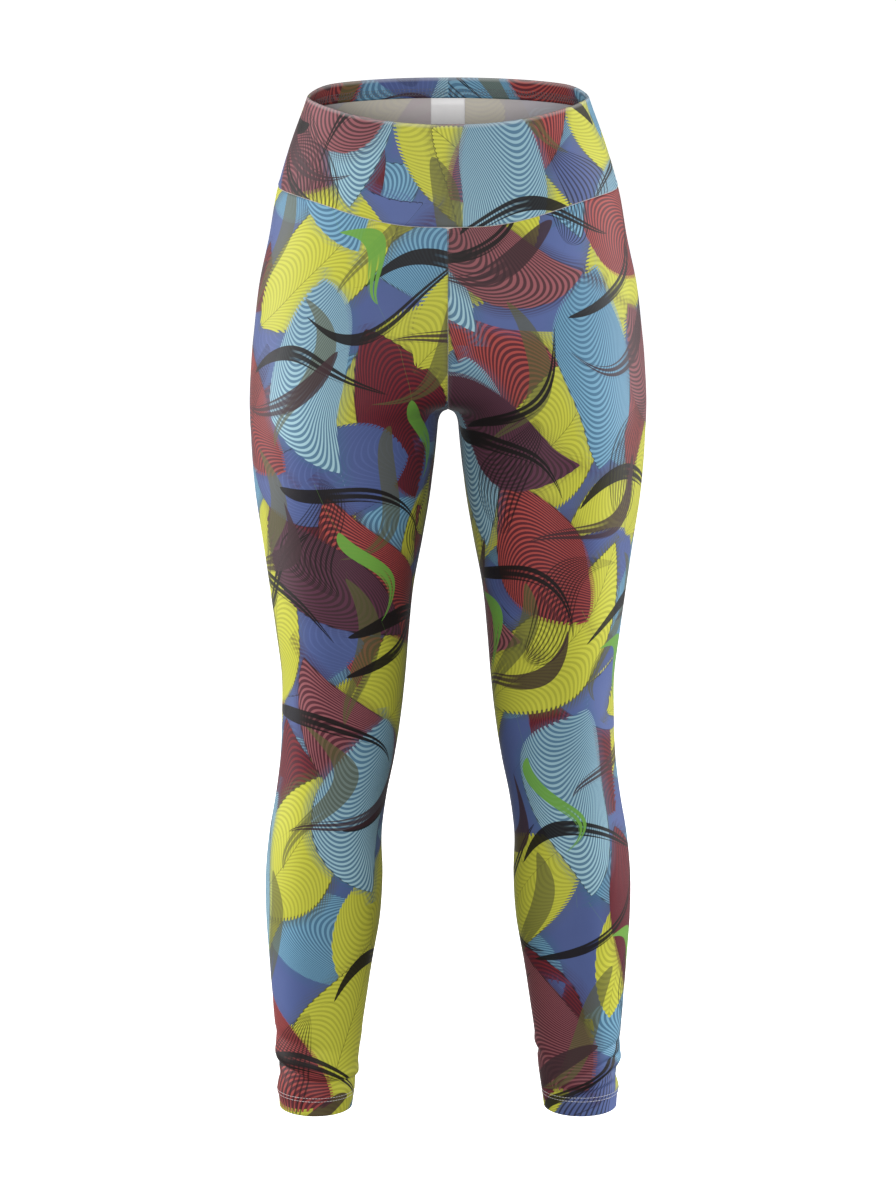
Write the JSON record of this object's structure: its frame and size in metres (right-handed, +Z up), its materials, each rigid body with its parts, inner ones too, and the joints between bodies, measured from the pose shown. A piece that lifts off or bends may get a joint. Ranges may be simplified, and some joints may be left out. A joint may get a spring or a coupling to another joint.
{
  "type": "leggings",
  "caption": "Full-length high-waisted leggings, worn and hollow, with a wide waistband, one-piece legs and turned hems.",
  "frame": {"origin": "middle of the waist opening, level with its top edge at the sides", "axes": "+Z up the body, -Y out of the front, +X to the wearer's left"},
  "size_m": [0.3828, 0.2403, 1.019],
  "materials": {
    "printed_knit": "smooth stretch knit with an all-over print and a soft sheen",
    "label_satin": "plain white woven satin"
  },
  "bodies": {
    "root": {"waistband": "printed_knit", "leg_left": "printed_knit", "leg_right": "printed_knit", "care_label": "label_satin"}
  },
  "joints": []
}
